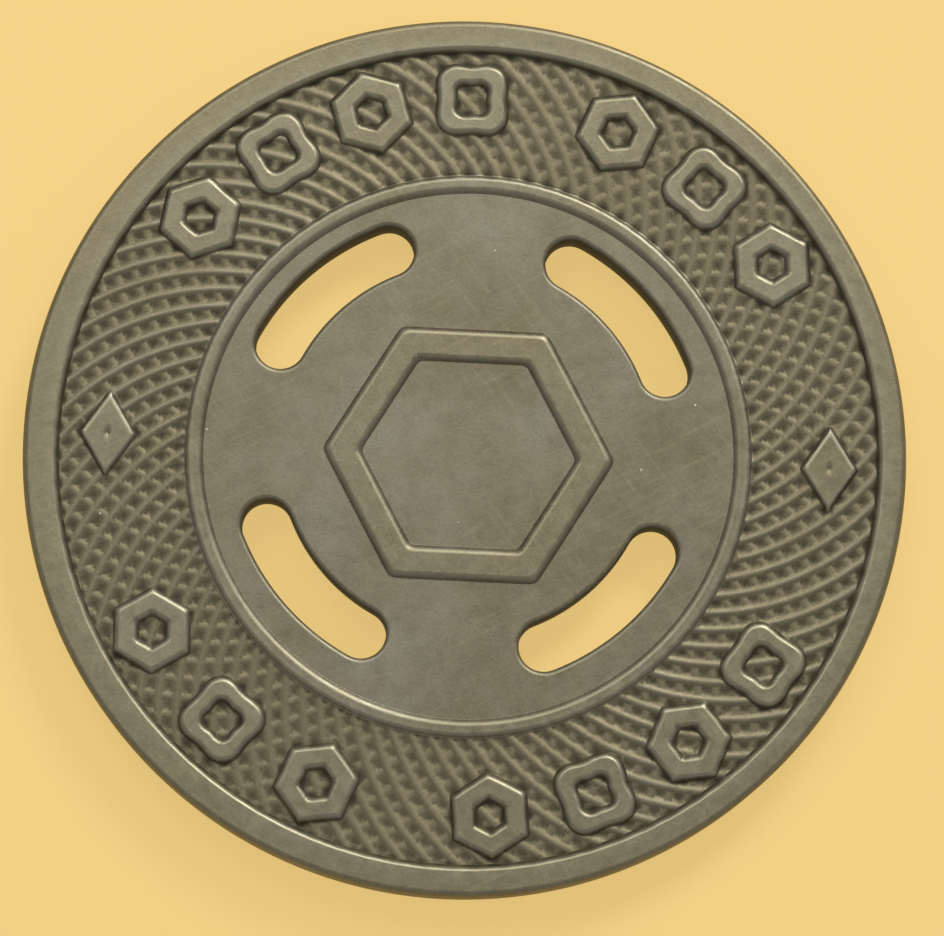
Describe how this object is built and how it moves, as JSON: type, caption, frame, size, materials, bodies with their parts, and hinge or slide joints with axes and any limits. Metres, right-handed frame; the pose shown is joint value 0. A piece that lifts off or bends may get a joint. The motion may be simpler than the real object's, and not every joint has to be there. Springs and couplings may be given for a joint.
{
  "type": "transit fare token",
  "caption": "Flat round struck metal fare token with a raised rim, an ornamented band, a centre disc with a raised frame, and kidney-shaped slots punched through.",
  "frame": {"origin": "middle of the reverse rim's resting plane, directly under the token's centre", "axes": "+Z out of the obverse, through the token's thickness; +Y towards the top of the obverse; +X to its right"},
  "size_m": [0.023, 0.023, 0.0016],
  "materials": {
    "nickel_silver": "worn and toned nickel silver, dull warm grey, darker in the recesses and lighter on the raised edges"
  },
  "bodies": {
    "root": {"fare_token": "nickel_silver"}
  },
  "joints": []
}
